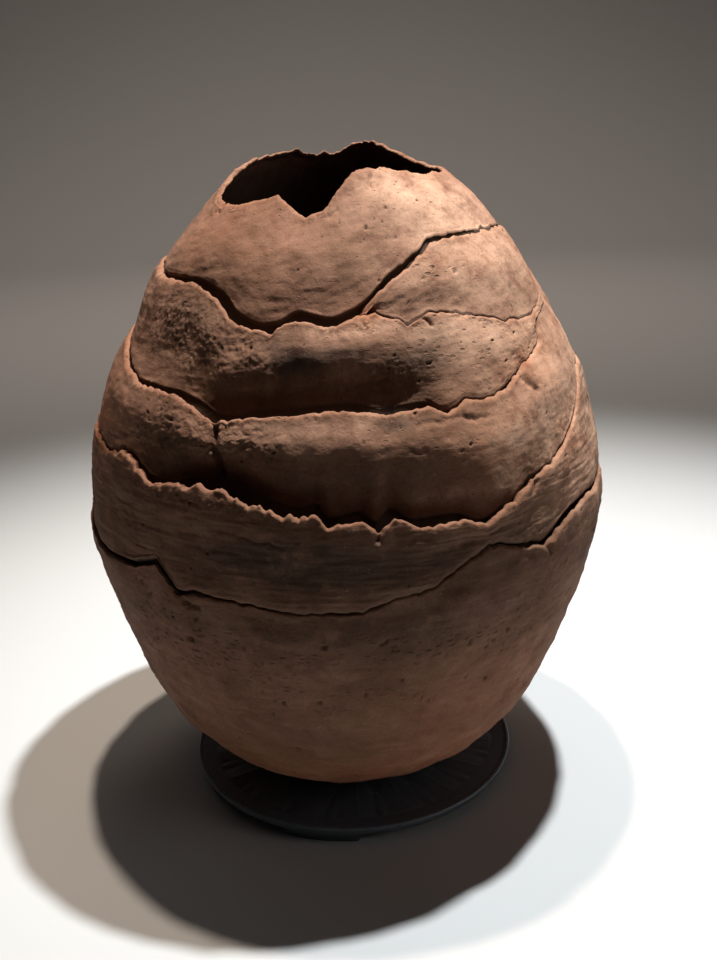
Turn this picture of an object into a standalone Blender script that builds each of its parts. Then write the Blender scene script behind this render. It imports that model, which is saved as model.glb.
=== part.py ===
"""Ovoid clay vase, built by hand from torn slabs that overlap, on a black cast stand.

Metres, +Z up. The origin is on the ground under the middle of the stand, and the front
faces -Y. An angle round the vase is 0 degrees at the front, 90 at +X and 180 at the back.
"""
import bpy
import numpy as np

MM = 0.001

# Stand: a shallow cast dish with a raised lip and a ring of leaves, on three bracket feet
STAND_RADIUS = 95.5 * MM
FOOT_HEIGHT = 5.0 * MM
FOOT_INSET = 3.5 * MM
FOOT_DEPTH = 14.0 * MM
FOOT_SLOPE = 1.5 * MM
PLATE_THICKNESS = 3.6 * MM
EDGE_RISE = 2.5 * MM
EDGE_HEIGHT = 2.1 * MM
LIP_WIDTH = 2.4 * MM
LIP_RISE = 0.8 * MM
BORDER_WIDTH = 7.0 * MM
BORDER_DROP = 1.0 * MM
SEAT_RADIUS = 50.0 * MM
LEAF_RISE = 1.1 * MM
LEAF_FULLNESS = 0.6
LEAF_STEPS = (0.25, 0.5, 0.75)
LEAF_COUNT = 18
COLUMNS_PER_LEAF = 4
FOOT_COUNT = 3
FOOT_FIRST_STEP = -5
FOOT_FLAT_STEPS = 5

# Vase: the base rests on the stand's seat, and heights and radii are shares of these two
VASE_HEIGHT = 350.0 * MM
BELLY_RADIUS = 142.0 * MM
BASE_RADIUS = 43.0 * MM
SEAT_GAP = 0.3 * MM
LEAN = 5.4 * MM
LEAN_START = -0.4 * MM

# Wall: thick where two slabs lie one behind the other, thin at the torn mouth
WALL = 13.0 * MM
FLOOR = 12.0 * MM
MOUTH_WALL = 5.0 * MM
THIN_FROM = 0.82

# Seams: the lower slab's lip stands proud, and the slab above comes out from behind it
LIP_HEIGHT = 4.5 * MM
LIP_ROUND = 1.2 * MM
OPEN_CRACK = 3.6 * MM
CLOSE_CRACK = 2.4 * MM
LEAST_BAND = 0.022

# Outline of the vase as (share of its height, share of its belly radius), base to top
OUTLINE = ((0.015, 0.385), (0.045, 0.51), (0.095, 0.66), (0.16, 0.775), (0.26, 0.877),
           (0.36, 0.958), (0.46, 1.0), (0.555, 0.975), (0.655, 0.903), (0.75, 0.776),
           (0.85, 0.643), (0.915, 0.505), (0.98, 0.335), (1.01, 0.26))

# Torn edges round the vase as (angle, hundredths of the vase's height)
MOUTH_EDGE = ((-176, 97.8), (-165, 98.9), (-138, 99.2), (-117, 98.3), (-95, 97.2),
              (-80, 94.9), (-66, 92.9), (-52, 92.3), (-40, 93.2), (-31, 93.8), (-23, 92.9),
              (-13, 91.1), (-7, 92.1), (-1, 94.3), (5, 96.1), (12, 96.9), (22, 96.9),
              (52, 95.8), (100, 95.8), (115, 96.1), (135, 98.1), (143, 99.5), (155, 100.0),
              (165, 99.8), (175, 98.3))
TOP_SLAB_EDGE = ((-170, 85.5), (-150, 86.6), (-125, 85.5), (-90, 84.3), (-67, 82.9),
                 (-46, 82.9), (-36, 81.5), (-28, 78.3), (-18, 77.5), (-12, 79.2), (-4, 78.1),
                 (2, 79.2), (6, 80.3), (12, 82.9), (23, 85.8), (31, 87.5), (45, 87.8),
                 (70, 87.8), (95, 86.9), (120, 84.9), (145, 83.2), (165, 84.1))
WEDGE_EDGE = ((-180, 90.0), (2, 90.0), (8, 79.5), (14, 78.6), (16, 77.8), (22, 79.2),
              (30, 78.6), (40, 77.5), (46, 76.3), (62, 76.3), (125, 76.0), (145, 79.0),
              (165, 90.0))
SHOULDER_EDGE = ((-170, 72.6), (-150, 74.1), (-125, 74.9), (-90, 74.1), (-78, 72.9),
                 (-69, 71.5), (-57, 69.8), (-41, 69.5), (-35, 68.6), (-28, 66.9), (-20, 67.8),
                 (0, 68.6), (8, 67.8), (17, 68.3), (21, 67.1), (26, 68.3), (31, 67.8),
                 (38, 68.9), (45, 70.6), (58, 72.9), (61, 75.2), (64, 76.6), (75, 78.6),
                 (88, 80.9), (105, 80.1), (125, 77.2), (145, 74.1), (165, 72.3))
MIDDLE_EDGE = ((-175, 58.6), (-150, 60.1), (-125, 62.3), (-90, 61.5), (-62, 59.8),
               (-51, 60.9), (-44, 58.6), (-38, 58.3), (-32, 59.2), (-24, 59.2), (-18, 57.5),
               (-10, 56.1), (-7, 56.6), (-4, 54.9), (2, 55.5), (5, 54.1), (8, 55.5),
               (13, 53.8), (21, 54.1), (26, 52.9), (33, 54.6), (38, 56.9), (45, 57.8),
               (53, 60.1), (60, 62.1), (66, 64.3), (75, 66.9), (90, 67.8), (110, 65.5),
               (135, 62.1), (160, 59.8))
BOWL_EDGE = ((-160, 44.6), (-135, 46.1), (-110, 48.1), (-90, 48.3), (-76, 45.8), (-62, 44.9),
             (-48, 45.5), (-41, 47.2), (-36, 43.5), (-30, 44.1), (-10, 42.6), (2, 42.6),
             (8, 44.3), (15, 44.9), (21, 47.5), (27, 49.5), (41, 47.2), (48, 48.9),
             (55, 50.3), (80, 50.6), (100, 49.5), (125, 47.2), (150, 44.9), (175, 43.8))

# Share of a seam's full depth round the vase, deep at the front and left
SEAM_DEPTH = ((-180, 0.45), (-120, 0.4), (-85, 0.4), (-52, 0.75), (-30, 1.0), (12, 1.0),
              (34, 0.45), (75, 0.35), (120, 0.45))

# Seams above the middle and the shoulder slab, the deepest ones
LIP_OUT = 1.5 * MM
THIN_LIP_OUT = 1.0 * MM
DEEP_TUCK = 10.0 * MM
DEEP_FOOT = 8.5 * MM
# Bowl's seam: its lip stands out at the sides, and at the front the slab above hangs over it
BOWL_LIP_SINK = 3.5 * MM
BOWL_TUCK = 6.0 * MM
BOWL_FOOT = 3.0 * MM
BOWL_FRONT_SPREAD = 42.0
# Wedge's seam is shallow, and the top slab's open crack is narrow and dark
WEDGE_TUCK = 2.5 * MM
WEDGE_FOOT = 2.0 * MM
CRACK_TUCK = 8.0 * MM
CRACK_FOOT = 1.0 * MM
CRACK_FRONT_FOOT = 2.0 * MM
# A slab's foot comes out to the round outline over this share of its band
FOOT_BLEND = 0.6
FOOT_BLEND_POWER = 1.4
GROOVE_PLACE = 0.4

FRONT_COLUMNS = 48
BACK_COLUMNS = 26
OUTLINE_STEPS = {"bowl": (0.03, 0.09, 0.19, 0.33, 0.5, 0.68, 0.86), "middle": (0.3, 0.65),
                 "shoulder": (0.2, 0.45, 0.75), "wedge": (0.3, 0.65),
                 "collar": (0.3, 0.65), "top": (0.25, 0.6, 0.85)}
INNER_STEPS = (0.88, 0.74, 0.58, 0.42, 0.27, 0.14, 0.05)
SHARP_ANGLE = 40.0

# Colours as linear red, green and blue
CLAY_COLOUR = (0.36, 0.19, 0.12)
CLAY_ROUGHNESS = 0.85
IRON_COLOUR = (0.012, 0.012, 0.013)
IRON_ROUGHNESS = 0.45


def smooth_curve(points, at):
    """Read a smooth curve through points, with slopes eased so that it never overshoots."""
    xs, ys = np.array(points, float).T
    step = np.diff(xs)
    rise = np.diff(ys) / step
    joined = rise[:-1] * rise[1:]
    inner = np.where(joined > 0, 2 * joined / (rise[:-1] + rise[1:] + 1e-12), 0.0)
    slopes = np.concatenate(([rise[0]], inner, [rise[-1]]))
    cell = np.clip(np.searchsorted(xs, at) - 1, 0, len(step) - 1)
    width = step[cell]
    t = (at - xs[cell]) / width
    start, end = ys[cell], ys[cell + 1]
    return (start * (1 + 2 * t) * (1 - t) ** 2 + end * t * t * (3 - 2 * t)
            + width * (slopes[cell] * t * (1 - t) ** 2 - slopes[cell + 1] * t * t * (1 - t)))


def round_curve(points, angles):
    """Read a closed curve of (angle, value) points at angles in degrees."""
    turns = [(a + turn, v) for turn in (-360, 0, 360) for a, v in points]
    return smooth_curve(turns, (angles + 180.0) % 360.0 - 180.0)


def body_radius(share):
    """Radius of the vase's round outline at a share of its height."""
    base = BASE_RADIUS / BELLY_RADIUS
    return BELLY_RADIUS * smooth_curve(((0.0, base),) + OUTLINE, share)


def column_angles():
    """Angles of the mesh's columns, close together over the front half."""
    front = np.linspace(-90.0, 90.0, FRONT_COLUMNS, endpoint=False)
    back = np.linspace(90.0, 270.0, BACK_COLUMNS, endpoint=False)
    return np.concatenate((front, back))


def seam_heights(angles):
    """Heights of the five seams and the mouth, as shares of the vase's height.

    The wedge-shaped slab is hidden where its edge would leave its place between the
    shoulder slab and the top slab, so its seam is held between theirs and fades out there.
    """
    edges = {name: round_curve(points, angles) / 100.0 for name, points in
             (("bowl", BOWL_EDGE), ("middle", MIDDLE_EDGE), ("shoulder", SHOULDER_EDGE),
              ("wedge", WEDGE_EDGE), ("collar", TOP_SLAB_EDGE), ("top", MOUTH_EDGE))}
    low, high = edges["shoulder"] + LEAST_BAND, edges["collar"] - LEAST_BAND
    edges["wedge"] = np.minimum(np.maximum(edges["wedge"], low), high)
    room = np.minimum(edges["wedge"] - low, high - edges["wedge"])
    return edges, np.clip(room / LEAST_BAND, 0.0, 1.0)


def seam_shapes(angles, wedge_share):
    """How far each seam's lip stands out and the foot above it lies in, at each angle."""
    depth = round_curve(SEAM_DEPTH, angles)
    facing = np.exp(-(((angles + 180) % 360 - 180) / BOWL_FRONT_SPREAD) ** 2)
    level = np.ones_like(angles)
    return {
        "bowl": (LIP_OUT - BOWL_LIP_SINK * facing, BOWL_TUCK, BOWL_FOOT * (1 - facing)),
        "middle": (LIP_OUT * level, DEEP_TUCK * depth, DEEP_FOOT * depth),
        "shoulder": (THIN_LIP_OUT * level, DEEP_TUCK * depth, DEEP_FOOT * depth),
        "wedge": (LIP_OUT * wedge_share, WEDGE_TUCK * wedge_share, WEDGE_FOOT * wedge_share),
        "collar": (THIN_LIP_OUT * level, CRACK_TUCK, CRACK_FOOT + CRACK_FRONT_FOOT * depth),
    }


def vase_rows():
    """Rows of (share of height, radius) round the vase, up its outside and down inside."""
    angles = column_angles()
    edges, wedge_share = seam_heights(angles)
    shapes = seam_shapes(angles, wedge_share)
    rows = [(np.zeros_like(angles), np.full_like(angles, BASE_RADIUS))]
    foot, foot_in = np.zeros_like(angles), np.zeros_like(angles)
    for name, steps in OUTLINE_STEPS.items():
        edge = edges[name]
        lip_start = edge - LIP_HEIGHT / VASE_HEIGHT
        out, tuck, next_in = shapes.get(name, (0.0, 0.0, 0.0))
        for step in steps:
            share = foot + (lip_start - foot) * step
            inward = foot_in * max(0.0, 1 - step / FOOT_BLEND) ** FOOT_BLEND_POWER
            rows.append((share, body_radius(share) - inward))
        rows.append((lip_start, body_radius(lip_start) + out))
        if name == "top":
            rows.append((edge - LIP_ROUND / VASE_HEIGHT, body_radius(edge)))
            rows.append((edge, body_radius(edge) - MOUTH_WALL / 2))
            break
        rows.append((edge, body_radius(edge) + out - LIP_ROUND))
        crack = OPEN_CRACK if name == "collar" else CLOSE_CRACK
        groove = edge + GROOVE_PLACE * crack / VASE_HEIGHT
        foot = edge + crack / VASE_HEIGHT
        foot_in = next_in
        rows.append((groove, body_radius(groove) - tuck))
        rows.append((foot, body_radius(foot) - foot_in))
    return angles, edges["top"], rows


def inner_rows(mouth):
    """Rows down the inside of the wall, from the mouth's inner edge to the floor."""
    floor = FLOOR / VASE_HEIGHT
    rows = [(mouth - LIP_ROUND / VASE_HEIGHT, body_radius(mouth) - MOUTH_WALL)]
    for step in INNER_STEPS:
        share = floor + (np.minimum(mouth, 1.0) - floor) * step
        thin = np.clip((share - THIN_FROM) / (1 - THIN_FROM), 0.0, 1.0)
        rows.append((share, body_radius(share) - WALL + (WALL - MOUTH_WALL) * thin))
    flat = np.full_like(mouth, floor)
    rows.append((flat, body_radius(flat) - WALL))
    return rows


def closed_grid(name, angles, rows, centres, ends):
    """Make a closed mesh from rings of points, with a fan over each end."""
    turn = np.radians(angles)
    rings = [np.stack((cx + r * np.sin(turn), -r * np.cos(turn), z), axis=-1)
             for (z, r), cx in zip(rows, centres)]
    count = len(angles)
    points = np.concatenate(rings + [np.array(ends, float)])
    first, last = len(points) - 2, len(points) - 1
    faces = []
    for row in range(len(rows) - 1):
        low, high = row * count, (row + 1) * count
        for i in range(count):
            j = (i + 1) % count
            faces.append((low + i, low + j, high + j, high + i))
    top = (len(rows) - 1) * count
    for i in range(count):
        j = (i + 1) % count
        faces.append((first, j, i))
        faces.append((last, top + i, top + j))
    mesh = bpy.data.meshes.new(name)
    mesh.from_pydata(points.tolist(), [], faces)
    mesh.validate()
    mesh.shade_smooth()
    mesh.set_sharp_from_angle(angle=np.radians(SHARP_ANGLE))
    obj = bpy.data.objects.new(name, mesh)
    bpy.context.collection.objects.link(obj)
    return obj


def seat_height():
    """Height of the stand's flat seat above the ground."""
    return FOOT_HEIGHT + PLATE_THICKNESS


def make_vase():
    """One hollow body of fired clay: slabs fused at their seams, open at the torn mouth."""
    angles, mouth, rows = vase_rows()
    rows += inner_rows(mouth)
    base = seat_height() + SEAT_GAP
    placed = [(base + share * VASE_HEIGHT, radius) for share, radius in rows]
    centres = [LEAN_START + LEAN * share for share, radius in rows]
    floor = base + FLOOR
    ends = ((LEAN_START, 0, base), (LEAN_START + LEAN * FLOOR / VASE_HEIGHT, 0, floor))
    return closed_grid("vase", angles, placed, centres, ends)


def leaf_relief(angles, share):
    """Height of the leaves: a ridge down each one, strongest halfway along it."""
    ridge = 0.5 - 0.5 * np.cos(np.radians(angles * LEAF_COUNT))
    return LEAF_RISE * ridge * np.sin(np.pi * share) ** LEAF_FULLNESS


def foot_share(columns):
    """1 at the columns under a bracket foot's flat underside, 0 elsewhere."""
    spacing = columns // FOOT_COUNT
    step = (np.arange(columns) - FOOT_FIRST_STEP) % spacing
    return np.where(step <= FOOT_FLAT_STEPS, 1.0, 0.0)


def make_stand():
    """One cast dish: seat, ring of leaves, plain border, lip, and three feet beneath."""
    columns = LEAF_COUNT * COLUMNS_PER_LEAF
    angles = np.arange(columns) * 360.0 / columns
    level = np.ones(columns)
    seat, under = seat_height(), FOOT_HEIGHT
    lip_in = STAND_RADIUS - LIP_WIDTH
    leaf_out = lip_in - BORDER_WIDTH
    edge_low = FOOT_HEIGHT + EDGE_RISE
    edge_top = edge_low + EDGE_HEIGHT
    border_top = seat + BORDER_DROP
    foot_out = STAND_RADIUS - FOOT_INSET
    foot_in = foot_out - FOOT_DEPTH
    below = under * (1 - foot_share(columns))
    rows = [(under * level, (foot_in - FOOT_SLOPE) * level), (below, foot_in * level),
            (below, foot_out * level), (under * level, (foot_out + FOOT_SLOPE) * level),
            (edge_low * level, STAND_RADIUS * level), (edge_top * level, STAND_RADIUS * level),
            ((edge_top + LIP_RISE) * level, (STAND_RADIUS - LIP_WIDTH / 2) * level),
            (border_top * level, lip_in * level), (seat * level, leaf_out * level)]
    for share in LEAF_STEPS:
        radius = leaf_out + (SEAT_RADIUS - leaf_out) * share
        rows.append((seat + leaf_relief(angles, share), radius * level))
    rows.append((seat * level, SEAT_RADIUS * level))
    ends = ((0, 0, under), (0, 0, seat))
    return closed_grid("stand", angles, rows, [0.0] * len(rows), ends)


def add_material(obj, name, colour, roughness, metallic):
    """Give an object its own Principled material."""
    material = bpy.data.materials.new(name)
    material.use_nodes = True
    shader = material.node_tree.nodes["Principled BSDF"]
    shader.inputs["Base Color"].default_value = (*colour, 1.0)
    shader.inputs["Roughness"].default_value = roughness
    shader.inputs["Metallic"].default_value = metallic
    obj.data.materials.append(material)


def main():
    for obj in list(bpy.data.objects):
        bpy.data.objects.remove(obj, do_unlink=True)
    add_material(make_vase(), "fired_clay", CLAY_COLOUR, CLAY_ROUGHNESS, 0.0)
    add_material(make_stand(), "black_cast_iron", IRON_COLOUR, IRON_ROUGHNESS, 0.0)


main()
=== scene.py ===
"""Hand-built ovoid clay vase on a black cast stand, as it looks.

The part's solids are loaded first and stay where they are. Each slab of the vase, and the
stand, then gets a surface of its own, worked out from the lengths below as arrays of points,
and a procedural material. A plain floor, soft lamps and a camera come last.
Metres, +Z up. The front faces -Y. An angle round the vase is 0 degrees at the front, 90 at
+X and 180 at the back, and a height on it is in hundredths of the vase's height.
"""

import bpy
import numpy as np
from bpy.props import FloatProperty, FloatVectorProperty, PointerProperty
from bpy.types import NodeSocket, Operator, Panel, PropertyGroup
from mathutils import Matrix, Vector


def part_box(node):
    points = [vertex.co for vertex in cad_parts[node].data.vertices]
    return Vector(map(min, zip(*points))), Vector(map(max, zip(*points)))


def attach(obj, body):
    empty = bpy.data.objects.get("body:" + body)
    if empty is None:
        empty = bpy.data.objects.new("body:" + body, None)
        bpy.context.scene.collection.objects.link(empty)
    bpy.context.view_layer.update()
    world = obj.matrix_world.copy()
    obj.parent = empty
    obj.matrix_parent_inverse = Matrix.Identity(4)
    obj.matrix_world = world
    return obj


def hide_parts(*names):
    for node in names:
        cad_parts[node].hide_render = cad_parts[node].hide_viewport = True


bl_info = {
    "name": "Ovoid Clay Vase",
    "version": (1, 0, 0),
    "blender": (4, 5, 0),
    "location": "3D View > Sidebar > Clay Vase",
    "description": "Makes a hand-built clay vase on a cast stand, with floor, lamps and camera",
    "category": "Object",
}

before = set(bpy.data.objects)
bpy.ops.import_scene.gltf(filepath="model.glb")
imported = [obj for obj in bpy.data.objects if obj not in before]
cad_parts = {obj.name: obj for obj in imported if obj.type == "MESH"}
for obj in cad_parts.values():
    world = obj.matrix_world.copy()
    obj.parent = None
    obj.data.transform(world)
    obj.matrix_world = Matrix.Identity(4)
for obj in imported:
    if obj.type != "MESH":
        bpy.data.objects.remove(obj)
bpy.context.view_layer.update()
VASE_LOW, VASE_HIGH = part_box("vase")
STAND_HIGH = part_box("stand")[1]

MM = 0.001
BODY = "root"
IMAGE_HEIGHT = 960

# Round outline of the vase as (share of its height, share of its belly radius). After it come
# the round of its foot, its floor and the curve up to the wall, the height share above which
# the wall thins, and how far its axis starts off centre and leans over its height
OUTLINE = ((0.0, 0.303), (0.015, 0.385), (0.045, 0.51), (0.095, 0.66), (0.16, 0.775),
           (0.26, 0.877), (0.36, 0.958), (0.46, 1.0), (0.555, 0.975), (0.655, 0.903),
           (0.75, 0.776), (0.85, 0.643), (0.915, 0.505), (0.98, 0.335), (1.01, 0.26))
BASE_ROUND = 3.0 * MM
FLOOR_THICKNESS = 12.0 * MM
FLOOR_CURVE = 6.0 * MM
THIN_FROM = 0.82
LEAN_START = -0.4 * MM
LEAN = 5.4 * MM

# Torn edges round the vase as (angle, height), from the mouth down
MOUTH_EDGE = ((-176, 97.9), (-171, 98.5), (-165, 98.3), (-155, 98.8), (-147, 99.1),
              (-138, 99.0), (-117, 98.3), (-107, 98.1), (-95, 96.9), (-80, 94.6), (-66, 93.3),
              (-50, 92.6), (-39, 93.2), (-28, 93.8), (-22, 92.7), (-13, 91.2), (-7, 91.9),
              (-3, 93.4), (3, 95.4), (7, 96.2), (12, 96.8), (22, 96.8), (38, 96.3), (52, 95.7),
              (100, 95.6), (115, 96.0), (123, 96.7), (135, 98.0), (142, 99.0), (145, 99.6),
              (155, 100.0), (163, 99.9), (170, 99.3), (176, 98.4))
COLLAR_EDGE = ((-170, 85.5), (-150, 86.6), (-125, 85.5), (-90, 84.3), (-67, 82.9),
               (-46, 82.9), (-36, 81.5), (-28, 78.3), (-18, 77.5), (-12, 79.2), (-4, 78.1),
               (2, 79.2), (6, 80.3), (12, 82.9), (23, 85.8), (31, 87.5), (45, 87.8),
               (70, 87.8), (95, 86.9), (120, 84.9), (145, 83.2), (165, 84.1))
WEDGE_EDGE = ((2, 78.0), (8, 79.5), (14, 78.6), (16, 77.8), (22, 79.2), (30, 78.6),
              (40, 77.5), (46, 76.3), (62, 76.3), (90, 78.6), (125, 77.6), (145, 79.0),
              (165, 80.5))
SHOULDER_EDGE = ((-170, 72.6), (-150, 74.1), (-125, 74.9), (-90, 74.1), (-78, 72.9),
                 (-69, 71.5), (-57, 69.8), (-41, 69.5), (-35, 68.6), (-28, 66.9), (-20, 67.8),
                 (0, 68.6), (8, 67.8), (17, 68.3), (21, 67.1), (26, 68.3), (31, 67.8),
                 (38, 68.9), (45, 70.6), (58, 72.9), (61, 75.2), (64, 76.6), (75, 78.6),
                 (88, 80.9), (105, 80.1), (125, 77.2), (145, 74.1), (165, 72.3))
MIDDLE_EDGE = ((-175, 58.6), (-150, 60.1), (-125, 62.3), (-90, 61.5), (-62, 59.8),
               (-51, 60.9), (-44, 58.6), (-38, 58.3), (-32, 59.2), (-24, 59.2), (-18, 57.5),
               (-10, 56.1), (-7, 56.6), (-4, 54.9), (2, 55.5), (5, 54.1), (8, 55.5),
               (13, 53.8), (21, 54.1), (26, 52.9), (33, 54.6), (38, 56.9), (45, 57.8),
               (53, 60.1), (60, 62.1), (66, 64.3), (75, 66.9), (90, 67.8), (110, 65.5),
               (135, 62.1), (160, 59.8))
BOWL_EDGE = ((-160, 44.6), (-135, 46.1), (-110, 48.1), (-90, 48.3), (-76, 45.8), (-62, 44.9),
             (-48, 45.5), (-41, 47.2), (-36, 43.5), (-30, 44.1), (-10, 42.6), (2, 42.6),
             (8, 44.3), (15, 44.9), (21, 47.5), (27, 49.5), (41, 47.2), (48, 48.9),
             (55, 50.3), (80, 50.6), (100, 49.5), (125, 47.2), (150, 44.9), (175, 43.8))

# Wedge slab's reach round the vase, and how far its ends take to fade out
WEDGE_START, WEDGE_END, WEDGE_FADE = 2.0, 166.0, 7.0
WEDGE_SUNK = 9.0 * MM

# Lengths in millimetres that shape each seam, as (angle, length) round the vase: how far the
# lip stands out, its thickness, how far in the slab above it starts, how far that slab's foot
# rolls in and how wide it leaves the crack open
SEAMS = {
    "bowl": {
        "out": ((-110, 0.6), (-75, 0.6), (-50, 0.3), (-20, -2.0), (15, -2.2), (34, -1.0),
                (42, 0.3), (60, 0.5), (120, 0.6)),
        "lip": ((0, 3.6),),
        "gap": ((-110, 0.8), (-60, 0.8), (-40, 0.8), (-20, 0.0), (15, 0.0), (35, 0.8),
                (46, 2.0), (60, 1.4), (90, 1.0)),
        "roll": ((-180, 2.5), (-50, 3.5), (0, 4.0), (46, 4.0), (90, 2.5)),
        "crack": ((-180, 0.6), (-70, 0.6), (-45, 1.6), (-30, 1.2), (0, 1.2), (20, 1.6),
                  (40, 2.2), (50, 1.6), (90, 0.6)),
    },
    "middle": {
        "out": ((-180, 0.8), (-90, 0.5), (-60, 0.5), (-35, 2.6), (12, 2.4), (34, 1.2),
                (50, 0.2), (90, 0.4)),
        "lip": ((-180, 3.2), (-60, 3.0), (-40, 3.8), (-14, 3.6), (0, 2.8), (40, 3.0)),
        "gap": ((-180, 2.0), (-120, 1.6), (-85, 1.0), (-58, 0.8), (-48, 1.4), (-36, 4.0),
                (-28, 8.5), (12, 9.5), (22, 7.0), (29, 3.6), (35, 1.6), (44, 0.9),
                (75, 0.8), (120, 2.0)),
        "roll": ((-180, 1.5), (-60, 1.6), (-30, 1.0), (12, 1.0), (36, 1.4), (75, 1.2)),
        "crack": ((-180, 0.6), (-60, 0.6), (-30, 0.3), (12, 0.3), (36, 0.6), (75, 0.4)),
    },
    "shoulder": {
        "out": ((-180, 0.8), (-35, 1.0), (18, 1.0), (26, 0.3), (60, 0.2), (90, 0.4)),
        "lip": ((-180, 3.4), (-20, 2.8), (40, 3.0)),
        "gap": ((-180, 2.0), (-120, 1.6), (-85, 1.2), (-62, 1.2), (-46, 2.0), (-33, 5.5),
                (-26, 9.0), (8, 9.0), (14, 6.5), (20, 4.4), (24, 1.6), (34, 1.4),
                (41, 1.6), (50, 0.8), (75, 1.0), (120, 2.0)),
        "roll": ((-180, 1.5), (-62, 1.6), (-30, 1.0), (12, 1.0), (24, 1.2), (75, 1.2)),
        "crack": ((-180, 0.6), (-60, 0.6), (-30, 0.3), (12, 0.3), (24, 0.5), (75, 0.4)),
    },
    "wedge": {
        "out": ((0, 0.4),),
        "lip": ((0, 2.2),),
        "gap": ((0, 0.4),),
        "roll": ((0, 0.7),),
        "crack": ((0, 0.15),),
    },
    "collar": {
        "out": ((-180, 1.0), (-60, 1.2), (0, 1.0), (35, 0.3), (80, 0.6)),
        "lip": ((-180, 3.2), (0, 3.0)),
        "gap": ((-180, 1.4), (-66, 1.2), (-46, 1.6), (-30, 2.8), (2, 2.8), (14, 1.8), (34, 0.9),
                (75, 0.8)),
        "roll": ((-180, 2.0), (-60, 2.6), (0, 3.0), (40, 2.2), (75, 1.4)),
        "crack": ((-180, 1.2), (-71, 1.6), (-58, 2.4), (-46, 1.4), (-36, 2.0), (-28, 5.5),
                  (-22, 2.8), (-18, 5.0), (-12, 2.4), (-4, 4.4), (2, 2.4), (6, 2.6), (12, 1.8),
                  (23, 1.4), (31, 1.2), (45, 1.0), (58, 0.5), (70, 0.4), (100, 1.0),
                  (140, 1.8)),
    },
    "mouth": {
        "out": ((0, 0.0),),
        "lip": ((-180, 3.6), (-40, 3.2), (20, 3.8)),
        "gap": ((0, 0.0),),
        "roll": ((0, 0.0),),
        "crack": ((0, 0.0),),
    },
}

# Each torn edge: its course, its unevenness in millimetres as (angle, size), and its seed
EDGES = {
    "bowl": (BOWL_EDGE, ((0, 0.8), (30, 0.8), (45, 1.3), (90, 0.8)), 11),
    "middle": (MIDDLE_EDGE, ((-180, 1.1), (-60, 1.1), (-40, 2.4), (-12, 2.4), (4, 1.1),
                             (60, 0.9)), 21),
    "shoulder": (SHOULDER_EDGE, ((-180, 1.0), (-60, 0.9), (-34, 1.1), (-20, 0.6), (14, 0.6),
                                 (26, 1.0), (60, 0.9)), 31),
    "wedge": (WEDGE_EDGE, ((0, 0.8),), 41),
    "collar": (COLLAR_EDGE, ((-180, 1.0), (-40, 0.9), (-20, 1.2), (10, 1.2), (40, 0.9)), 51),
    "mouth": (MOUTH_EDGE, ((-180, 1.1), (-90, 1.2), (-60, 0.9), (-40, 0.4), (0, 0.5),
                           (30, 0.9), (90, 1.0)), 61),
}
LUMP_SIZE, LUMP_HEIGHT = 8.0 * MM, 2.0
CRUMB_SIZE, CRUMB_HEIGHT = 3.4 * MM, 0.7
TEAR_SUNK = 0.8

# Unevenness of the lips' thickness and of how far they stand out, as its size and height
LIP_WAVE, LIP_UNEVEN = 7.0 * MM, 0.3
OUT_WAVE, OUT_UNEVEN = 9.0 * MM, 0.6 * MM

# Gap at which the slab above no longer follows the torn rim, how much deeper than its gap a
# crack goes, and how far its sides go on sloping behind the roll
CLOSED_GAP = 3.0 * MM
CRACK_DEEPER = 3.0 * MM
HIDDEN_SLOPE = 1.5 * MM

# Slabs: seam below, seam above, columns round it, rows up its band, and how crowded its
# columns are at which angle. After them, the bowl's columns, rows and crowding, how far a slab
# goes on below its crack, and how high and how fast its foot comes out of the crack
SLABS = {
    "middle": ("bowl", "middle", 800, 62, 0.42, 0.0),
    "shoulder": ("middle", "shoulder", 800, 56, 0.42, 0.0),
    "upper": ("shoulder", "wedge", 760, 56, 0.42, 0.0),
    "wedge": ("wedge", "collar", 420, 30, 0.7, 55.0),
    "top": ("collar", "mouth", 800, 64, 0.42, 0.0),
}
BOWL_COLUMNS, BOWL_ROWS, BOWL_CROWDING = 660, 104, 0.42
FOOT_HIDDEN = 4.0 * MM
FOOT_BLEND = 0.78
FOOT_BLEND_POWER = 1.2

# How much each slab swells between its edges, how far up its widest place lies, the share of
# it left where the seam below is closed, the gap that brings out all of it, and how far up a
# slab starts to lean out to its lip
SWELL = {"middle": -0.3, "shoulder": 1.2, "upper": 1.2, "wedge": 0.6, "top": 0.6}
SWELL_HIGH = 1.3
SWELL_CLOSED = 0.35
SWELL_GAP = 6.0 * MM
LIFT_FROM = 0.4

# Noise of the clay's surface as (size and height in millimetres, seed): the unevenness left
# by hands and fingers down to the skin, and the lumps of the rough patches
UNEVEN = ((70, 1.1, 1), (26, 1.0, 2), (12, 0.45, 3), (4, 0.16, 4))
ROUGH_LUMPS = ((4.6, 0.8, 8), (2.2, 0.8, 9))

# Relief of each slab in millimetres: horizontal drag marks, slanting scrape marks
DRAG = {"bowl": 0.30, "middle": 0.24, "shoulder": 0.10, "upper": 0.10, "wedge": 0.12,
        "top": 0.06}
SCRAPE = {"bowl": 0.05, "middle": 0.08, "shoulder": 0.10, "upper": 0.10, "wedge": 0.2,
          "top": 0.16}

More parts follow.
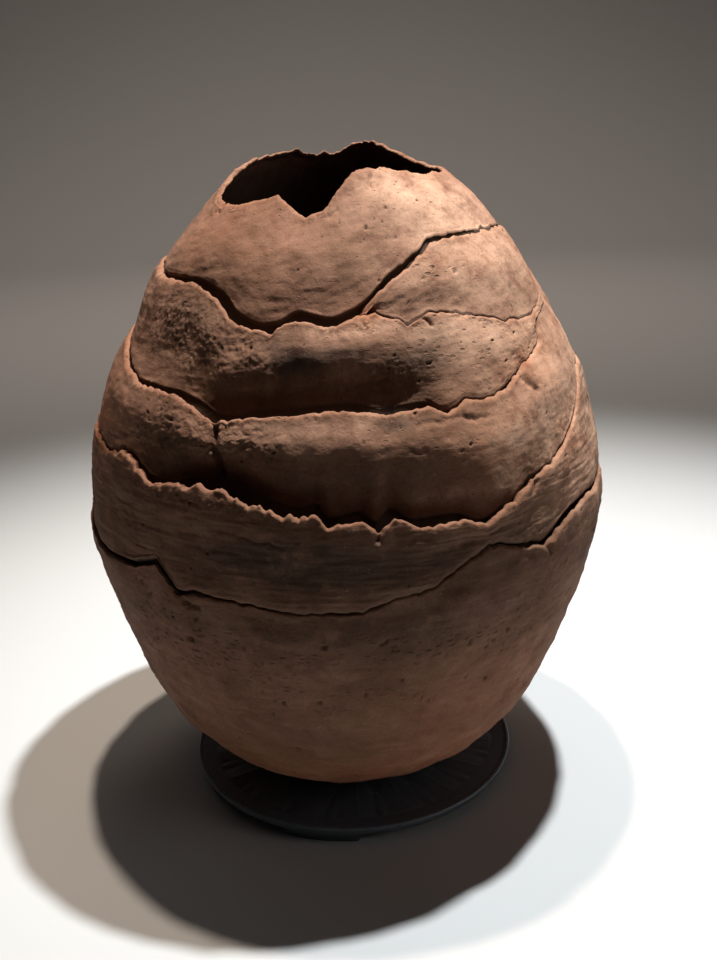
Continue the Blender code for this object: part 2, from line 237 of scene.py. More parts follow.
# Patches of the surface as (angle, height, half width, half height, strength)
ROUGH = {
    "bowl": ((50, 47, 12, 3.0, 0.8), (-45, 44, 10, 2.5, 0.6), (-39, 34, 12, 6, 0.35),
             (160, 42, 20, 3, 0.5), (-120, 44, 16, 4, 0.5)),
    "middle": ((-30, 57.5, 26, 1.6, 0.7), (50, 57, 9, 4, 0.35), (150, 56, 20, 3, 0.5),
               (-44, 47, 8, 2, 0.5), (38, 50, 12, 2, 0.4)),
    "shoulder": ((-22, 64, 9, 5, 0.7), (-38, 62, 12, 6, 0.45), (-27, 64, 4, 5, 1.0),
                 (-37, 65, 9, 4, 0.5), (-22, 65, 5, 3, 0.5), (-30, 68, 6, 1.5, 0.8),
                 (44, 69.5, 4, 1.5, 0.6), (42, 58.5, 8, 2, 0.7), (52, 61.5, 6, 3, 0.6),
                 (61, 65, 6, 3, 0.5), (-150, 66, 20, 4, 0.5)),
    "upper": ((-50, 79, 12, 3.6, 0.9), (-36, 76, 12, 4, 0.8), (-22, 74.5, 8, 3, 0.5),
              (-26, 77, 4, 1.5, 0.8), (36, 70, 8, 1.4, 0.6), (48, 72, 6, 2, 0.6),
              (58, 75, 5, 2, 0.6), (-120, 80, 20, 4, 0.5), (15, 73.5, 8, 2.5, 0.35),
              (5, 78, 4, 1.0, 1.0)),
    "wedge": ((6, 79.5, 4, 1.5, 1.0), (25, 81.5, 8, 2.2, 0.4), (52, 78.5, 8, 2, 0.5),
              (110, 80, 20, 3, 0.4)),
    "top": ((12, 96, 6, 1.2, 0.5), (-62, 92, 8, 1.5, 0.6), (150, 98, 20, 1.5, 0.6),
            (34, 95.5, 8, 0.8, 0.4)),
}
PITTED = {
    "bowl": ((-40, 36, 11, 6, 0.8), (-19, 36.5, 10, 4, 0.6), (-15, 29.5, 9, 3, 0.6),
             (9, 36.5, 12, 3, 0.5), (19, 36.5, 9, 2, 0.6), (5, 28, 16, 3, 0.35),
             (-7, 16, 12, 3, 0.2), (42, 36, 13, 6, 0.35), (110, 33, 24, 6, 0.5),
             (-120, 30, 26, 7, 0.5), (170, 36, 22, 6, 0.5)),
    "middle": ((-52, 52, 10, 3, 0.15), (62, 60, 6, 3, 0.2), (140, 55, 25, 4, 0.3)),
    "shoulder": ((14, 64, 14, 3, 0.2), (-40, 66, 8, 3, 0.3), (130, 68, 20, 4, 0.3)),
    "upper": ((32, 75.5, 10, 2.6, 0.65), (22, 78, 6, 1, 0.3), (15, 74, 8, 3, 0.3),
              (-45, 78, 12, 4, 0.3), (-130, 78, 25, 5, 0.3)),
    "wedge": ((27, 84.3, 6, 1.4, 0.95), (34, 83, 4, 1.2, 0.5), (90, 83, 25, 3, 0.2)),
    "top": ((12, 91.5, 18, 4, 0.14), (-38, 91, 12, 3, 0.1), (40, 92.5, 12, 3, 0.12),
            (-130, 92, 30, 4, 0.2)),
}
PLAIN_PITS = 0.03
LARGE_PITS, SMALL_PITS, PIT_DEPTH = 8.0 * MM, 4.0 * MM, 1.5
# Smoke patches: partly grey smoke from the firing, partly painted shade on the front bands under
# the rims and on the bowl below the belly
SMOKE_AND_SHADE = ((-11, 74.2, 8, 1.6, 0.9), (-3, 75.3, 6, 0.9, 0.6), (-16, 76, 4, 0.8, 0.5),
         (17, 74, 9, 2.2, 0.5), (23, 76.5, 6, 1.2, 0.35), (10, 66.6, 4, 0.7, 0.7),
         (28, 81, 6, 1.0, 0.3), (-37, 64.5, 7, 2.5, 0.35), (45, 65, 4, 2, 0.3),
         (-14, 67, 7, 0.8, 0.35), (-22, 50, 20, 4, 0.35), (10, 49, 34, 5, 0.7),
         (-10, 50.5, 18, 3.5, 0.6), (0, 60, 34, 3.5, 0.6), (4, 40, 36, 4, 0.6),
         (4, 32, 34, 9, 0.3), (-6, 20, 28, 7, 0.35), (-45, 78, 14, 5, 0.3),
         (-42, 88, 16, 6, 0.25),
         (150, 60, 25, 7, 0.4), (-140, 35, 30, 7, 0.3), (100, 30, 20, 7, 0.25),
         (-110, 78, 20, 5, 0.4))
WARM = ((-45, 90, 22, 6, 0.45), (5, 79, 4, 1.6, 1.0), (26, 60, 14, 4, 0.4),
        (50, 71, 10, 3.5, 0.8), (35, 62.5, 11, 3, 0.7),
        (56, 57, 9, 6, 0.6), (46, 95, 14, 2.5, 0.5), (38, 84, 16, 3, 0.4),
        (0, 8, 120, 8, 0.7), (30, 24, 30, 8, 0.4), (-78, 62, 14, 14, 0.6),
        (80, 78, 12, 10, 0.5), (160, 80, 30, 8, 0.5), (-150, 55, 30, 6, 0.5),
        (150, 20, 60, 10, 0.6))
# Pale patches: partly the clay's own pale flush, partly painted light brightening the right-hand
# slabs where the lamps from the right fall
PALE_AND_LIT = ((26, 94, 17, 4.5, 0.7), (41, 62.5, 13, 4, 1.0), (61, 57, 12, 7, 1.0),
        (50, 90, 26, 7, 1.0), (48, 83, 22, 4.5, 0.9),
        (20, 84, 6, 2.0, 0.6), (78, 62, 18, 12, 0.8), (34, 76.5, 16, 2.6, 0.7),
        (54, 73, 14, 6, 0.6), (58, 65, 18, 6, 0.6), (-8, 66.4, 16, 1.4, 0.35),
        (-14, 65, 7, 1.8, 0.5), (80, 66, 16, 8, 0.7), (-80, 80, 14, 6, 0.3),
        (5, 77.8, 22, 1.2, 0.6), (20, 57, 34, 1.0, 0.3), (-38, 74.5, 9, 1.5, 0.3),
        (-120, 95, 25, 3, 0.4), (130, 90, 25, 4, 0.4), (100, 80, 30, 10, 0.5),
        (33, 73.5, 10, 3, 0.6), (56, 52, 14, 4, 0.7))

# Grooves in a slab as (path of angles and heights, width and depth in millimetres)
GROOVES = {
    "shoulder": ((((-28.5, 67.5), (-27.5, 65.5), (-28, 63.6), (-26.6, 62), (-27.4, 60.4),
                   (-26.8, 58.9)), 1.5, 3.2),
                 (((42.6, 69.4), (44.4, 68.6), (45.6, 67.4)), 1.6, 1.6),
                 (((12, 63.4), (13.5, 63.1), (15, 63.3)), 0.8, 0.6),
                 (((24, 66.3), (27, 66.0), (30, 66.2)), 0.8, 0.7),
                 (((14, 66.3), (20, 66.6), (27, 66.2)), 1.0, 0.7)),
    "middle": ((((-21, 53.3), (-16, 52.6), (-12, 52.3)), 0.6, 0.5),
               (((5, 55.4), (5.2, 54), (4.8, 52.8)), 1.3, 2.4),
               (((38.5, 58), (39.5, 56.4), (38.2, 55.2)), 1.0, 1.8)),
    "top": ((((16, 95.9), (14, 95.2), (13.5, 94.6)), 0.7, 1.0),
            (((38, 96.2), (39.5, 95.4)), 0.7, 1.0),
            (((-59, 92.8), (-57, 91.8)), 1.0, 1.4),
            (((-8.5, 91.6), (-4, 91.3), (-1, 92)), 0.7, 0.7)),
    "upper": ((((20, 78.6), (22, 77.6)), 0.9, 1.4),
              (((-6, 71.5), (2, 71), (9, 71.6)), 1.6, 0.8)),
    "bowl": ((((41.5, 49), (41, 47.5), (42.5, 46)), 1.2, 1.6),
             (((-38, 45), (-34, 42.5), (-31, 42)), 1.4, 1.6)),
}

# Stand: heights above the ground and radii, where its three bracket feet are, and the leaves
# in its ring
FOOT_HEIGHT = 5.0 * MM
SEAT_HEIGHT = 8.6 * MM
EDGE_LOW = 7.5 * MM
BORDER_HEIGHT = 9.5 * MM
BORDER_WIDTH = 7.0 * MM
SEAT_RADIUS = 50.0 * MM
FOOT_OUTER = 92.0 * MM
FOOT_INNER = 78.0 * MM
FOOT_SLOPE = 1.5 * MM
FOOT_CENTRES = (-12.5, 107.5, 227.5)
FOOT_HALF_ANGLE = 12.5
LEAF_COUNT = 18
LEAF_COLUMNS = 32
LEAF_ROWS = 44

# Camera at the photograph's viewing angle
CAMERA_PLACE = (0.0, -0.575, 0.3686)
CAMERA_FOCAL_PIXELS = 1063.0
CAMERA_PITCH, CAMERA_ROLL, CAMERA_YAW = 18.61, -2.26, -0.92

# Lamps as place, aim, size, radius of the pool of light and colour. The first two stand
# where the two shadows beside the vase point to, one cool and one warm. The world and the
# floor, which curves up at its edge, follow.
LAMPS = {
    "key": ((0.293, 0.04, 1.457), (0.1, 0.08, 0.1), 0.03, 0.75, (0.9, 0.96, 1.0)),
    "second": ((-0.015, 0.095, 1.457), (0.0, 0.08, 0.1), 0.03, 0.75, (1.0, 0.85, 0.71)),
    "side": ((1.3, -0.45, 0.8), (0.0, 0.0, 0.27), 0.5, 0.6, (1.0, 0.98, 0.96)),
    "fill": ((-0.9, 0.6, 2.2), (0.0, 0.0, 0.0), 0.6, 1.4, (1.0, 0.97, 0.92)),
    "backdrop": ((0.0, 1.3, 2.4), (0.0, 2.0, 0.1), 0.5, 3.2, (1.0, 0.88, 0.79)),
}
WORLD_COLOUR = (0.72, 0.74, 0.78, 1.0)
WORLD_STRENGTH = 0.015
FLOOR_RINGS = (0.3, 0.7, 1.2, 1.8)
STAGE_RADIUS = 2.6
STAGE_CURVE = 0.9
STAGE_TOP = 2.6
STAGE_COLUMNS = 96


def linear(code):
    """Turn an sRGB colour in hexadecimal into linear red, green and blue."""
    values = [int(code[i:i + 2], 16) / 255 for i in (0, 2, 4)]
    return [v / 12.92 if v <= 0.04045 else ((v + 0.055) / 1.055) ** 2.4 for v in values]


def colour_property(name, description, code):
    """Make a colour setting with its default given in hexadecimal."""
    return FloatVectorProperty(name=name, description=description, default=linear(code),
                               subtype='COLOR', size=3, min=0.0, max=1.0)


def length_property(name, description, default):
    """Make a length setting in metres."""
    return FloatProperty(name=name, description=description, default=default, min=0.0001,
                         unit='LENGTH', precision=4)


def power_property(name, description, default):
    """Make a lamp's power setting in watts."""
    return FloatProperty(name=name, description=description, default=default, min=0.0,
                         unit='POWER')


class VaseSettings(PropertyGroup):
    height: length_property("Height", "Base to the highest point of the mouth",
                            VASE_HIGH.z - VASE_LOW.z)
    belly: length_property("Belly Radius", "Radius of the round outline at its widest",
                           (VASE_HIGH.y - VASE_LOW.y) / 2)
    wall: length_property("Wall", "Thickness of the fused wall", 13.0 * MM)
    mouth_wall: length_property("Mouth Wall", "Thickness of the wall near the mouth", 5.0 * MM)
    bulge: length_property("Bulge", "How far each slab swells between its edges", 2.2 * MM)
    tear: FloatProperty(name="Tear", description="Unevenness of the torn edges", default=1.0,
                        min=0.0, max=3.0)
    pink: colour_property("Pink Clay", "Main colour of the fired clay", "835C47")
    brown: colour_property("Brown Clay", "Second colour of the fired clay", "714E38")
    warm: colour_property("Warm Flush", "Orange patches from the firing", "99603F")
    # Pale clay tone for the drift and the pale patches; on the right the patches are partly
    # painted light
    pale: colour_property("Pale Flush", "Pale patches on the upper slabs", "C69D81")
    # Painted shade: dark colour laid deep in the cracks, on the slabs' hidden feet and the cracks'
    # sides
    crevice_shade: colour_property("Crevice", "Clay deep in the cracks", "4A3629")
    # Grey of the smoke patches, and the colour of the painted shade in the pits, the pores and
    # inside the wall
    smoke: colour_property("Smoke", "Grey patches left by smoke", "37291F")
    grog: colour_property("Grog", "Pale grains in the clay", "C4A08A")


class StandSettings(PropertyGroup):
    radius: length_property("Radius", "Outer radius of the stand", STAND_HIGH.x)
    lip: length_property("Lip", "Width of the raised lip", 2.4 * MM)
    leaf: length_property("Leaf Height", "Height of the leaves' relief", 1.1 * MM)
    iron: colour_property("Iron", "Colour of the blackened iron", "4E545B")
    # Grey of the rubbed lip and of the dust; along the lip's top it is partly a painted highlight
    worn: colour_property("Worn Iron", "Colour of the iron on its worn lip", "66686A")


class StageSettings(PropertyGroup):
    floor: colour_property("Floor", "Colour of the floor and backdrop", "BBBAB8")
    key_power: power_property("Key Lamp", "Power of the nearer lamp overhead", 150.0)
    second_power: power_property("Second Lamp", "Power of the other lamp overhead", 55.0)
    side_power: power_property("Side Lamp", "Power of the lamp on the right", 15.0)
    fill_power: power_property("Fill Lamp", "Power of the wide lamp at the back", 6.0)
    backdrop_power: power_property("Backdrop Lamp", "Power of the lamp on the backdrop", 115.0)



def smooth_curve(points, at):
    """Read a smooth curve through points, with slopes eased so that it never overshoots."""
    xs, ys = np.array(points, float).T
    step = np.diff(xs)
    rise = np.diff(ys) / step
    joined = rise[:-1] * rise[1:]
    inner = np.where(joined > 0, 2 * joined / (rise[:-1] + rise[1:] + 1e-12), 0.0)
    slopes = np.concatenate(([rise[0]], inner, [rise[-1]]))
    cell = np.clip(np.searchsorted(xs, at) - 1, 0, len(step) - 1)
    width = step[cell]
    t = (at - xs[cell]) / width
    start, end = ys[cell], ys[cell + 1]
    return (start * (1 + 2 * t) * (1 - t) ** 2 + end * t * t * (3 - 2 * t)
            + width * (slopes[cell] * t * (1 - t) ** 2 - slopes[cell + 1] * t * t * (1 - t)))


def round_curve(points, angles):
    """Read a closed curve of (angle, value) points at angles in degrees."""
    if len(points) == 1:
        return np.full(angles.shape, float(points[0][1]))
    turns = [(a + turn, v) for turn in (-360, 0, 360) for a, v in points]
    return smooth_curve(turns, (angles + 180.0) % 360.0 - 180.0)


def ease(x):
    """Smooth step from 0 to 1."""
    x = np.clip(x, 0.0, 1.0)
    return x * x * (3 - 2 * x)


RANDOM = np.random.default_rng(4)
GRADIENTS = RANDOM.normal(size=(4096, 3))
GRADIENTS /= np.linalg.norm(GRADIENTS, axis=1, keepdims=True)
PIT_PLACES = RANDOM.random((4096, 3))
PIT_RADII = 0.11 + 0.27 * RANDOM.random(4096) ** 2
PIT_CHANCES = RANDOM.random(4096)


def lattice_key(cells, seed):
    """Whole number from 0 to 4095 for each lattice cell, mixed from its three places."""
    mixed = (cells[..., 0] * 73856093 ^ cells[..., 1] * 19349663 ^ cells[..., 2] * 83492791
             ^ seed * 40503)
    mixed = (mixed ^ (mixed >> 13)) * 1274126177
    return (mixed ^ (mixed >> 16)) & 4095


def noise(points, seed):
    """Gradient noise from about -1 to 1: each lattice corner pulls along a direction of its
    own, and the eight pulls round a point are blended smoothly."""
    base = np.floor(points)
    part = points - base
    base = base.astype(np.int64)
    blend = part ** 3 * (part * (part * 6 - 15) + 10)
    total = np.zeros(points.shape[:-1])
    for corner in np.ndindex(2, 2, 2):
        pull = GRADIENTS[lattice_key(base + corner, seed)]
        share = np.prod(np.where(corner, blend, 1 - blend), axis=-1)
        total += share * np.einsum("...i,...i", pull, part - corner)
    return total * 1.7


def billow(points, seed):
    """Rounded lumps with sharp valleys between them, from 0 to about 1."""
    return np.abs(noise(points, seed))


def pits(points, fill, seed):
    """1 at the middle of scattered round hollows and 0 at their edges. Fill is the share of
    lattice cells that have one."""
    base = np.floor(points).astype(np.int64)
    depth = np.zeros(points.shape[:-1])
    for step in np.ndindex(3, 3, 3):
        cell = base + step - 1
        key = lattice_key(cell, seed)
        away = np.linalg.norm(points - cell - PIT_PLACES[key], axis=-1)
        there = PIT_CHANCES[key] < fill
        depth = np.maximum(depth, np.where(there, 1 - away / PIT_RADII[key], 0.0))
    return depth


def patches(spots, angles, heights):
    """Soft-edged patches, each 1 times its strength at its middle, laid over each other."""
    clear = np.ones(np.broadcast(angles, heights).shape)
    for angle, height, half_width, half_height, strength in spots:
        across = ((angles - angle + 180) % 360 - 180) / half_width
        up = (heights - height) / half_height
        clear *= 1 - strength * np.exp(-(across ** 2 + up ** 2))
    return 1 - clear


def groove(path, width, angles, heights, sizes):
    """1 along a path over the surface, falling to 0 at its width on either side."""
    radius = body_radius(path[0][1] / 100, sizes)
    across = np.radians((angles - path[0][0] + 180) % 360 - 180) * radius
    up = (heights - path[0][1]) / 100 * sizes.height
    nearest = np.full(np.broadcast(across, up).shape, np.inf)
    corners = [(np.radians(a - path[0][0]) * radius, (h - path[0][1]) / 100 * sizes.height)
               for a, h in path]
    for (x0, y0), (x1, y1) in zip(corners, corners[1:]):
        length = (x1 - x0) ** 2 + (y1 - y0) ** 2
        share = np.clip(((across - x0) * (x1 - x0) + (up - y0) * (y1 - y0)) / length, 0, 1)
        away = np.hypot(across - x0 - share * (x1 - x0), up - y0 - share * (y1 - y0))
        nearest = np.minimum(nearest, away)
    return np.exp(-(nearest / width) ** 2)


def body_radius(share, sizes):
    """Radius of the round outline at a share of the vase's height."""
    return sizes.belly * smooth_curve(OUTLINE, share)


def ring_points(angles, radius, seed):
    """Points on a circle, for noise that meets itself after a full turn."""
    turn = np.radians(angles)
    return np.stack((radius * np.sin(turn), -radius * np.cos(turn), seed * MM + 0 * turn), -1)


def torn_edge(name, angles, sizes):
    """Heights above the vase's base of a torn rim's smooth course, and of the rim itself:
    the straight stretches between its points, with lumps and nicks."""
    course, tear, seed = EDGES[name]
    smooth = round_curve(course, angles) / 100 * sizes.height
    at, height = np.array(course).T
    rim = np.interp(angles, at, height, period=360) / 100 * sizes.height
    ring = ring_points(angles, body_radius(rim.mean() / sizes.height, sizes), seed)
    lumps = billow(ring / LUMP_SIZE, seed)
    crumbs = billow(ring / CRUMB_SIZE, seed + 1)
    size = sizes.tear * round_curve(tear, angles) * MM
    return smooth, rim + size * (LUMP_HEIGHT * lumps + CRUMB_HEIGHT * crumbs - TEAR_SUNK)


def wedge_share(angles):
    """1 where the wedge slab is seen, fading to 0 beyond its two ends."""
    turned = (angles + 180.0) % 360.0 - 180.0
    return (ease((turned - WEDGE_START) / WEDGE_FADE)
            * ease((WEDGE_END - turned) / WEDGE_FADE))


def seam_lengths(name, angles, sizes):
    """Every length that shapes one seam, in metres, at each angle. The slab above starts
    along the torn rim where the seam is closed, and along its smooth course where the slab
    stands back from it."""
    lengths = {key: round_curve(points, angles) * MM for key, points in SEAMS[name].items()}
    smooth, rim = torn_edge(name, angles, sizes)
    if name == "wedge":
        shown = wedge_share(angles)
        beyond = seam_lengths("collar", angles, sizes)
        smooth = shown * smooth + (1 - shown) * beyond["start"]
        rim = shown * rim + (1 - shown) * beyond["rim"]
        for key in lengths:
            lengths[key] = shown * lengths[key] + (1 - shown) * beyond[key]
    ring = ring_points(angles, 0.1, 5.0)
    lengths["lip"] *= 1 + LIP_UNEVEN * noise(ring / LIP_WAVE, 71)
    lengths["out"] += OUT_UNEVEN * noise(ring / OUT_WAVE, 72)
    lengths["rim"] = rim
    lengths["start"] = smooth + (rim - smooth) * ease(1 - lengths["gap"] / CLOSED_GAP)
    lengths["depth"] = CRACK_DEEPER + lengths["gap"] + 0.5 * lengths["roll"]
    lengths["behind"] = lengths["gap"] + lengths["roll"] + HIDDEN_SLOPE
    return lengths


def lip_rows(rows, above):
    """Add the torn lip's round and the crack's inner side to a slab's rows. The relief fades
    over the round, so that the thin lip doesn't fold."""
    half = above["lip"] / 2
    for turn in np.linspace(0.0, np.pi, 11):
        rows.append((above["rim"] - half + half * np.sin(turn),
                     above["out"] - half + half * np.cos(turn), 0.6 + 0.35 * np.cos(turn),
                     0.0, 0.0))
    start_z, start_off = above["rim"] - half, above["out"] - 2 * half
    for k in (0.15, 0.3, 0.45, 0.6, 0.75, 0.9, 1.0):
        rows.append((start_z + (above["rim"] - above["depth"] - start_z) * k,
                     start_off + (-above["behind"] - start_off) * ease(k), 0.25,
                     float(above["gap"].any()), 0.0))


def slab_rows(name, angles, sizes):
    """Rows of a slab's section: up its outside from its hidden foot, over its torn lip, down
    the side of the crack and down its inside. Each row has its height, its offset from the
    round outline, and its shares of the relief, of the crack and of the inside."""
    below_name, above_name, _, band_rows, _, _ = SLABS[name]
    below = seam_lengths(below_name, angles, sizes)
    above = seam_lengths(above_name, angles, sizes)
    foot = below["start"] - below["depth"] - FOOT_HIDDEN
    deep = -(below["gap"] + below["roll"])
    edge = below["start"] + 0.5 * below["crack"]
    rows = []
    for k in (0.0, 0.35, 0.7, 1.0):
        rows.append((foot + (edge - foot) * k, deep - HIDDEN_SLOPE * (1 - k), 0.0, 1.0, 0.0))
    rise = 0.6 * below["roll"] + 1.0 * MM
    for turn in np.linspace(0.0, np.pi / 2, 9)[1:]:
        rows.append((edge + rise * (1 - np.cos(turn)),
                     -below["gap"] - below["roll"] * (1 - np.sin(turn)), 0.6,
                     float(np.cos(turn)), 0.0))
    start, end = edge + rise, above["rim"] - 0.9 * above["lip"]
    room = ease((end - start) / (12 * MM)) * (SWELL_CLOSED + (1 - SWELL_CLOSED)
                                             * ease(below["gap"] / SWELL_GAP))
    for k in np.linspace(0.0, 1.0, band_rows)[1:]:
        tuck = below["gap"] * max(0.0, 1 - k / FOOT_BLEND) ** FOOT_BLEND_POWER
        swell = SWELL[name] * sizes.bulge * room * np.sin(np.pi * k ** SWELL_HIGH) ** 1.5
        lift = above["out"] * float(ease((k - LIFT_FROM) / (1 - LIFT_FROM)))
        rows.append((start + (end - start) * k, swell + lift - tuck, 1.0, 0.0, 0.0))
    lip_rows(rows, above)
    last = above["rim"] - above["depth"]
    behind = above["behind"]
    for k in (0.12, 0.25, 0.45, 0.65, 0.85, 1.0):
        height = last + (foot - last) * k
        wall = np.full_like(height, sizes.wall)
        if above_name == "mouth":
            thin = np.clip((height / sizes.height - THIN_FROM) / (1 - THIN_FROM), 0, 1)
            wall = sizes.wall - (sizes.wall - sizes.mouth_wall) * thin
            behind = above["lip"]
        off = -behind - (wall - behind) * ease(k / 0.45)
        rows.append((height, np.minimum(off, deep - HIDDEN_SLOPE) if k == 1.0 else off, 0.3,
                     0.0, 1.0))
    return rows


def bowl_rows(angles, sizes):
    """Rows of the bowl's section, from the middle of its base to the middle of its floor."""
    above = seam_lengths("bowl", angles, sizes)
    level = np.ones_like(angles)
    base_radius = body_radius(0.0, sizes)
    rows = []
    for k in (0.3, 0.7, 0.95):
        rows.append((0 * level, (base_radius - BASE_ROUND) * k - base_radius, 0.0, 0.0, 0.0))
    for turn in (30, 60):
        rows.append((BASE_ROUND * (1 - np.cos(np.radians(turn))) * level,
                     BASE_ROUND * (np.sin(np.radians(turn)) - 1) * level, 0.3, 0.0, 0.0))
    end = above["rim"] - 0.9 * above["lip"]
    for k in np.linspace(0.0, 1.0, BOWL_ROWS):
        lift = above["out"] * float(ease((k - 0.9) / 0.1))
        rows.append((BASE_ROUND + (end - BASE_ROUND) * k, lift, float(ease(k / 0.05)),
                     0.0, 0.0))
    lip_rows(rows, above)
    last = above["rim"] - above["depth"]
    behind = above["behind"]
    bottom = FLOOR_THICKNESS + FLOOR_CURVE
    for k in (0.06, 0.12, 0.22, 0.34, 0.46, 0.58, 0.7, 0.82, 0.92, 1.0):
        rows.append((last + (bottom - last) * k,
                     -behind - (sizes.wall - behind) * float(ease(k / 0.2)), 0.3, 0.0, 1.0))
    inner = body_radius(bottom / sizes.height, sizes) - sizes.wall
    for k in (0.9, 0.6, 0.3):
        height = FLOOR_THICKNESS + FLOOR_CURVE * ease((k - 0.6) / 0.4)
        rows.append((height * level,
                     inner * k - body_radius(height / sizes.height, sizes), 0.3, 0.0, 1.0))
    return rows


def column_angles(columns, crowding, centre):
    """Angles of a grid's columns, closer together round the centre angle."""
    turn = np.linspace(-np.pi, np.pi, columns, endpoint=False)
    return np.degrees(turn - crowding * np.sin(turn)) + centre


def neighbour_step(grid, axis, closed):
    """Difference between each point's two neighbours along one axis of a grid."""
    if closed:
        return np.roll(grid, -1, axis) - np.roll(grid, 1, axis)
    return np.gradient(grid, axis=axis)


def clay_relief(name, place, angles, heights, sizes):
    """Outward relief of the clay, and the masks its material reads. Hand-sized unevenness,
    finger marks and fine skin are noise of four sizes. Drag marks are noise drawn out
    sideways. Rough patches add lumps, and pits and grooves cut in."""
    relief = sum(high * noise(place / (size * MM), seed) for size, high, seed in UNEVEN)
    sideways = place * (1 / 24, 1 / 24, 1 / 2.6) / MM
    relief += DRAG[name] * (noise(sideways, 5) + 0.8 * noise(sideways * 1.9, 6))
    slant = place @ np.array(((1 / 20, 0, 1 / 9), (0, 1 / 20, 0), (1 / 12, 0, -1 / 3))) / MM
    relief += SCRAPE[name] * noise(slant, 7)
    rim_gap = (heights.max(axis=0) - heights) / 100 * sizes.height
    rough = patches(ROUGH[name], angles, heights)
    rough = np.maximum(rough, 0.5 * np.exp(-(rim_gap / (3.5 * MM)) ** 2))
    for size, high, seed in ROUGH_LUMPS:
        relief += rough * high * (billow(place / (size * MM), seed) - 0.3)
    fill = PLAIN_PITS + patches(PITTED[name], angles, heights) + 0.2 * rough
    wander = np.stack([noise(place / (3.2 * MM), 13 + axis) for axis in range(3)], -1)
    flat = place * (1, 1, 1.9) + wander * 0.9 * MM
    hollows = np.maximum(pits(flat / LARGE_PITS, 0.35 * fill, 10),
                         0.7 * pits(flat / SMALL_PITS, 0.8 * fill, 11))
    relief -= PIT_DEPTH * ease(hollows * 1.7)
    ragged = 0.35 * noise(place / (4 * MM), 12)
    for path, width, depth in GROOVES.get(name, ()):
        relief -= depth * groove(path, width * MM, angles + ragged, heights + ragged, sizes)
    masks = {
        # Nearness to the torn rim, which the material tints partly as a painted highlight
        "rim": np.exp(-(rim_gap / (1.6 * MM)) ** 2),
        "rough": rough,
        # Where the pits are; the material darkens them as painted shade
        "pit": ease(hollows * 2.0),
        # Smoke patches, partly painted shade
        "smoke": patches(SMOKE_AND_SHADE, angles, heights),
        "warm": patches(WARM, angles, heights),
        # Pale patches, partly painted light on the right
        "pale": patches(PALE_AND_LIT, angles, heights),
        "pitted": patches(PITTED[name], angles, heights),
        "dragged": np.full_like(relief, DRAG[name] / max(DRAG.values())),
    }
    return relief * MM, masks


def mesh_object(name, points, faces, values):
    """Make a mesh object from points, quads and triangles, with one value a vertex."""
    mesh = bpy.data.meshes.new(name)
    corners = np.concatenate([f.ravel() for f in faces])
    sizes = np.concatenate([np.full(len(f), f.shape[1]) for f in faces])
    starts = np.concatenate(([0], np.cumsum(sizes)[:-1]))
    mesh.vertices.add(len(points))
    mesh.vertices.foreach_set("co", points.astype(np.float32).ravel())
    mesh.loops.add(len(corners))
    mesh.loops.foreach_set("vertex_index", corners.astype(np.int32))
    mesh.polygons.add(len(sizes))
    mesh.polygons.foreach_set("loop_start", starts.astype(np.int32))
    mesh.update(calc_edges=True)
    mesh.validate()
    mesh.shade_smooth()
    for key, array in values.items():
        layer = mesh.attributes.new(key, 'FLOAT', 'POINT')
        layer.data.foreach_set("value", array.astype(np.float32).ravel())
    obj = bpy.data.objects.new(name, mesh)
    bpy.context.collection.objects.link(obj)
    return obj


def grid_faces(rows, columns, closed):
    """Quads of a grid whose columns go all the way round, and whose rows may too."""
    grid = np.arange(rows * columns).reshape(rows, columns)
    right = np.roll(grid, -1, axis=1)
    if closed:
        return np.stack((grid, right, np.roll(right, -1, 0), np.roll(grid, -1, 0)),
                        -1).reshape(-1, 4)
    return np.stack((grid[:-1], right[:-1], right[1:], grid[1:]), -1).reshape(-1, 4)


def capped_grid(name, place, values, low, high):
    """Make a mesh object from rows of points round an axis. Triangles close the first row at
    the low middle point and the last row at the high one."""
    rows, columns = place.shape[:2]
    points = np.concatenate((place.reshape(-1, 3), (low, high)))
    first = np.arange(columns)
    last = first + (rows - 1) * columns
    under = np.stack((np.full(columns, len(points) - 2), np.roll(first, -1), first), -1)
    over = np.stack((np.full(columns, len(points) - 1), last, np.roll(last, -1)), -1)
    values = {key: np.append(array.ravel(), (0.0, 0.0)) for key, array in values.items()}
    return mesh_object(name, points, [grid_faces(rows, columns, False), under, over], values)


def clay_grid(name, angles, rows, sizes):
    """Place a slab's rows round the leaning axis, press the relief into them and return
    the points with the masks for the material."""
    closed = name != "bowl"
    height = np.array([row[0] for row in rows])
    offset = np.array([row[1] + 0 * angles for row in rows])
    share = height / sizes.height
    radius = body_radius(share, sizes) + offset
    if name == "wedge":
        radius -= WEDGE_SUNK * (1 - wedge_share(angles))
    turn = np.radians(angles)
    centre = LEAN_START + LEAN * share
    place = np.stack((centre + radius * np.sin(turn), -radius * np.cos(turn),
                      VASE_LOW.z + height), -1)
    out = np.cross(neighbour_step(place, 1, True), neighbour_step(place, 0, closed))
    out /= np.linalg.norm(out, axis=-1, keepdims=True) + 1e-12
    weight = np.array([row[2] for row in rows])[:, None]
    relief, masks = clay_relief(name, place, angles + 0 * height, share * 100, sizes)
    place = place + out * (relief * weight)[..., None]
    # The crack and inside masks mark where the material lays painted shade
    masks["crack"] = np.array([row[3] + 0 * angles for row in rows])
    masks["inside"] = np.array([row[4] + 0 * angles for row in rows])
    return place, masks


def dress(obj, node, material):
    """Give a piece its material, hang it on its body and hide the solid it stands for."""
    obj.data.materials.append(material)
    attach(obj, BODY)
    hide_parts(node)


def add_node(tree, kind, inputs=(), **settings):
    """Add a shader node, with its settings, and its inputs as values or as links."""
    node = tree.nodes.new(kind)
    for key, value in settings.items():
        setattr(node, key, value)
    for key, value in dict(inputs).items():
        if isinstance(value, NodeSocket):
            tree.links.new(value, node.inputs[key])
        else:
            node.inputs[key].default_value = value
    return node


